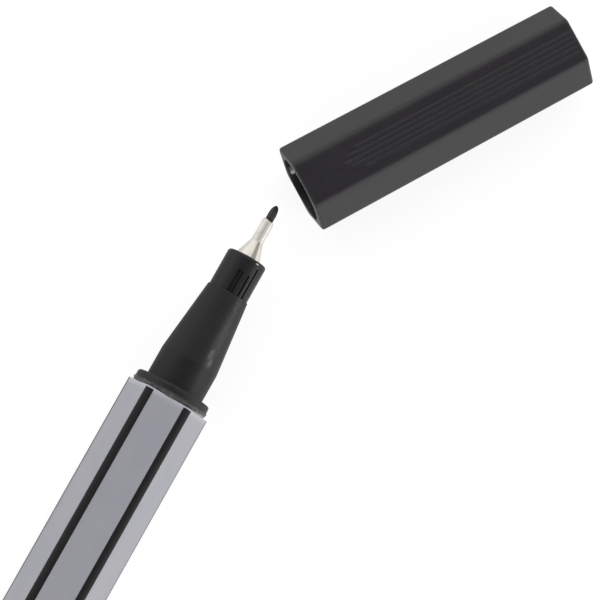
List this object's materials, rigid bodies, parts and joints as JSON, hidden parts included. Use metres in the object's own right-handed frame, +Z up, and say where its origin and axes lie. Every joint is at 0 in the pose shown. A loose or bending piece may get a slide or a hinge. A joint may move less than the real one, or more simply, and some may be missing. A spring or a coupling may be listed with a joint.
{
  "type": "fineliner pen",
  "caption": "Slim writing pen with a six-sided striped barrel, tapered grip section, metal-sleeved fibre nib and a six-sided push-on cap lying off beside the nib.",
  "frame": {"origin": "on the pen's axis, on the collar's front face, where the closed cap stops", "axes": "+X along the pen towards the nib, +Z up from the table with the barrel on a flat, +Y to the left of the pen seen from its rear end"},
  "size_m": [0.1865, 0.0247, 0.0078],
  "materials": {
    "barrel_grey": "satin extruded grey plastic",
    "stripe_black": "satin black co-extruded stripe",
    "grip_black": "matte moulded black plastic",
    "holder_black": "glossy moulded black plastic",
    "nickel": "bright drawn nickel silver",
    "nib_fibre": "ink-soaked bonded fibre",
    "wadding": "ink-soaked fibre wadding",
    "film": "clear plastic film",
    "plug_black": "satin moulded black plastic",
    "cap_black": "satin moulded charcoal plastic",
    "liner_black": "soft moulded black plastic"
  },
  "bodies": {
    "pen": {"barrel": "barrel_grey", "barrel_stripes": "stripe_black", "grip_section": "grip_black", "nib_holder": "holder_black", "nib_sleeve": "nickel", "nib": "nib_fibre", "ink_reservoir": "wadding", "reservoir_wrap": "film", "rear_plug": "plug_black"},
    "cap": {"cap_shell": "cap_black", "cap_liner": "liner_black"}
  },
  "joints": [
    {"name": "cap_slide", "type": "slide", "parent": "pen", "child": "cap", "axis": [0.8468, -0.532, 0], "range_m": [0, 0.06]}
  ]
}
